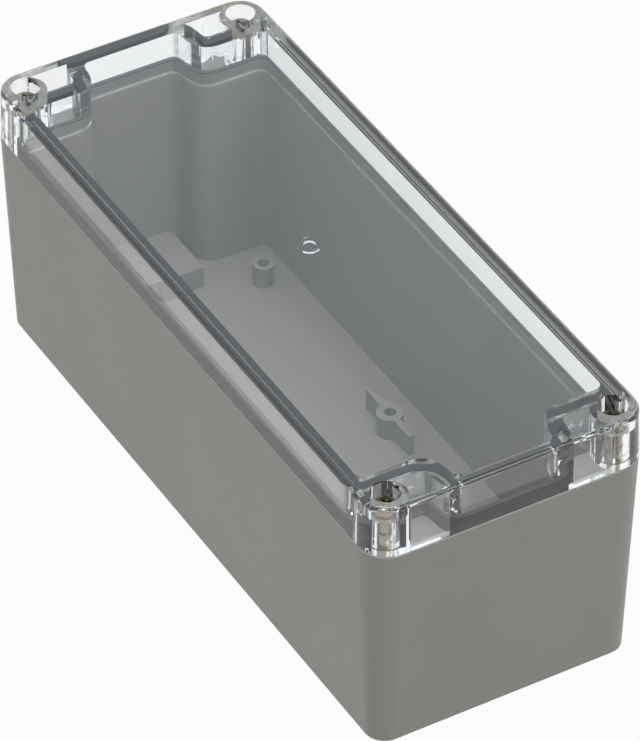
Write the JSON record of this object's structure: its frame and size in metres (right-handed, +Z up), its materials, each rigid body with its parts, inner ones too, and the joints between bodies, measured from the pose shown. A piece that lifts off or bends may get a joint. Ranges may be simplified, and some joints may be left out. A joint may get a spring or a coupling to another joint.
{
  "type": "industrial electrical enclosure",
  "caption": "Long sealed electronics enclosure: grey moulded base with floor posts, and a clear screw-down lid with captive corner screws and a gasket.",
  "frame": {"origin": "middle of the underside of the base, where the box rests", "axes": "+X along the box towards its front end, +Y across it towards its right side, +Z up through the lid"},
  "size_m": [0.19, 0.075, 0.0742],
  "materials": {
    "grey_plastic": "fine satin moulded grey",
    "clear_plastic": "clear polished, see-through",
    "seal_rubber": "matt dark elastomer",
    "screw_metal": "plated, slightly warm",
    "insert_brass": "turned brass"
  },
  "bodies": {
    "base": {"base": "grey_plastic", "brass_insert_front_left": "insert_brass", "brass_insert_front_right": "insert_brass", "brass_insert_back_left": "insert_brass", "brass_insert_back_right": "insert_brass"},
    "lid": {"lid": "clear_plastic", "gasket": "seal_rubber"},
    "screw_front_left": {"lid_screw_front_left": "screw_metal"},
    "screw_front_right": {"lid_screw_front_right": "screw_metal"},
    "screw_back_left": {"lid_screw_back_left": "screw_metal"},
    "screw_back_right": {"lid_screw_back_right": "screw_metal"}
  },
  "joints": [
    {"name": "lid_lift", "type": "slide", "parent": "base", "child": "lid", "axis": [0, 0, 1], "range_m": [0, 0.06]},
    {"name": "screw_front_left_turn", "type": "hinge", "parent": "lid", "child": "screw_front_left", "pos_m": [0.0881, -0.0306, 0.0607], "axis": [0, 0, 1], "continuous": true},
    {"name": "screw_front_right_turn", "type": "hinge", "parent": "lid", "child": "screw_front_right", "pos_m": [0.0881, 0.0306, 0.0607], "axis": [0, 0, 1], "continuous": true},
    {"name": "screw_back_left_turn", "type": "hinge", "parent": "lid", "child": "screw_back_left", "pos_m": [-0.0881, -0.0306, 0.0607], "axis": [0, 0, 1], "continuous": true},
    {"name": "screw_back_right_turn", "type": "hinge", "parent": "lid", "child": "screw_back_right", "pos_m": [-0.0881, 0.0306, 0.0607], "axis": [0, 0, 1], "continuous": true}
  ]
}
